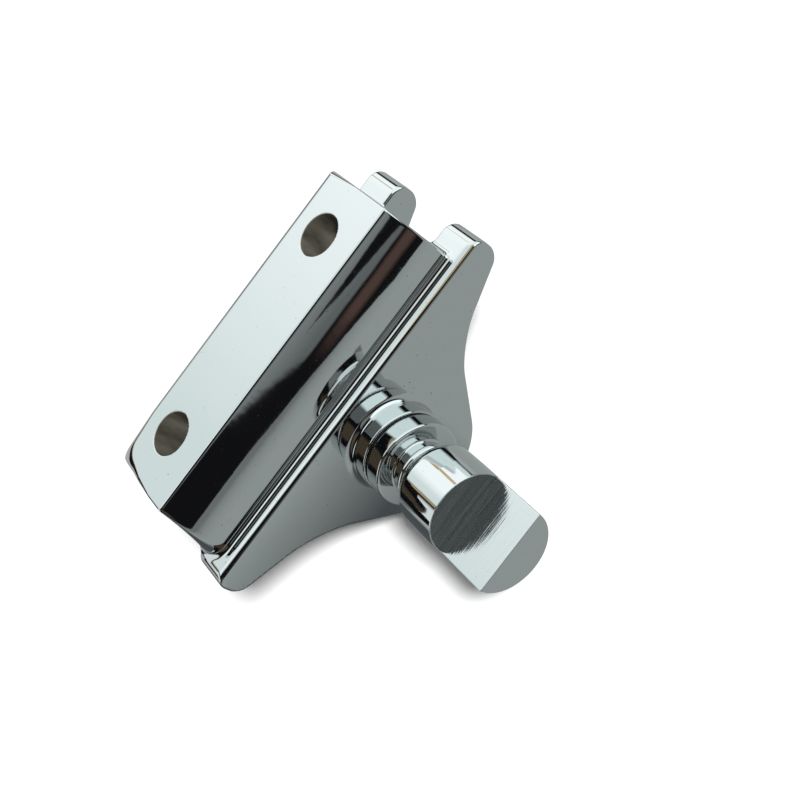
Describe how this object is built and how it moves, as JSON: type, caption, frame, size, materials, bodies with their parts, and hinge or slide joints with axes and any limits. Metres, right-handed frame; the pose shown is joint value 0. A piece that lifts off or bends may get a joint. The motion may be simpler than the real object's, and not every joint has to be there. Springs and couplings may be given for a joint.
{
  "type": "window latch",
  "caption": "Chrome saddle latch for a window or shutter frame: a bridge block with screw holes, cheeks astride the frame edge, and a half-round nose that turns a quarter turn.",
  "frame": {"origin": "on the saddle's seat, the flat under the bridge block that rests on the frame member, midway between the two screws", "axes": "+X along the block, the spindle points along -Y, +Z is the outward normal of the screw face"},
  "size_m": [0.0508, 0.0466, 0.0316],
  "materials": {
    "chrome_casting": "polished chrome plate",
    "chrome_spindle": "polished chrome plate, the nose flat and shoulder ground",
    "bush_polymer": "moulded, dull",
    "plated_steel": "zinc plated",
    "spring_steel": "oiled",
    "black_steel": "phosphated"
  },
  "bodies": {
    "saddle": {"body_casting": "chrome_casting", "pivot_bush": "bush_polymer", "stop_pin": "plated_steel"},
    "nose": {"nose_spindle": "chrome_spindle", "stop_washer": "plated_steel", "wave_washer": "spring_steel", "plain_washer": "plated_steel", "circlip": "black_steel"}
  },
  "joints": [
    {"name": "nose_turn", "type": "hinge", "parent": "saddle", "child": "nose", "pos_m": [0, -0.0148, -0.0084], "axis": [0, -1, 0], "range_deg": [0, 90]}
  ]
}
